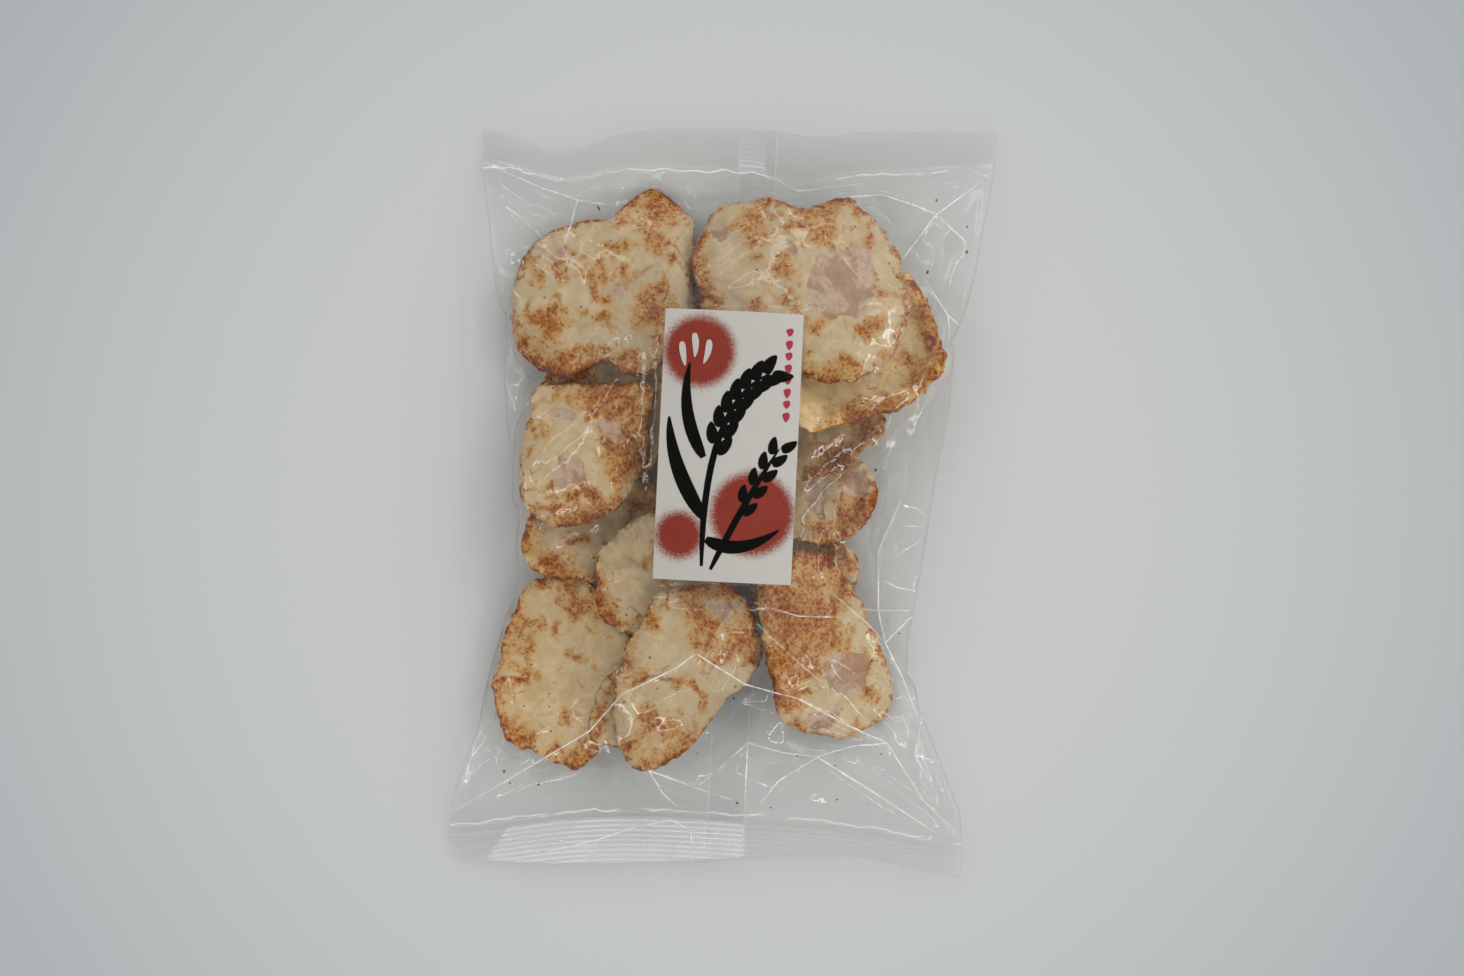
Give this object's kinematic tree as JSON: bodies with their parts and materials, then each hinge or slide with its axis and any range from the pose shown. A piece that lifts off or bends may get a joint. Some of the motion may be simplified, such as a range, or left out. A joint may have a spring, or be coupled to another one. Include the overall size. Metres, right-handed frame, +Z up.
{
  "type": "pack of fried rice crackers",
  "caption": "Clear sealed film pillow pack of puffed fried rice crackers, lying flat, with a paper label on its front.",
  "frame": {"origin": "on the table under the middle of the pack's outline", "axes": "+X across the pack, +Y along it to the top seal, +Z up out of the front with the label"},
  "size_m": [0.18, 0.2636, 0.0418],
  "materials": {
    "film": "clear glossy polypropylene film, heat sealed",
    "cracker": "fried puffed rice cracker, cream with golden brown soy stains",
    "label_paper": "smooth white label paper",
    "label_ink": "printed brush-like ink marks"
  },
  "bodies": {
    "root": {"bag": "film", "label": "label_paper"}
  },
  "joints": []
}
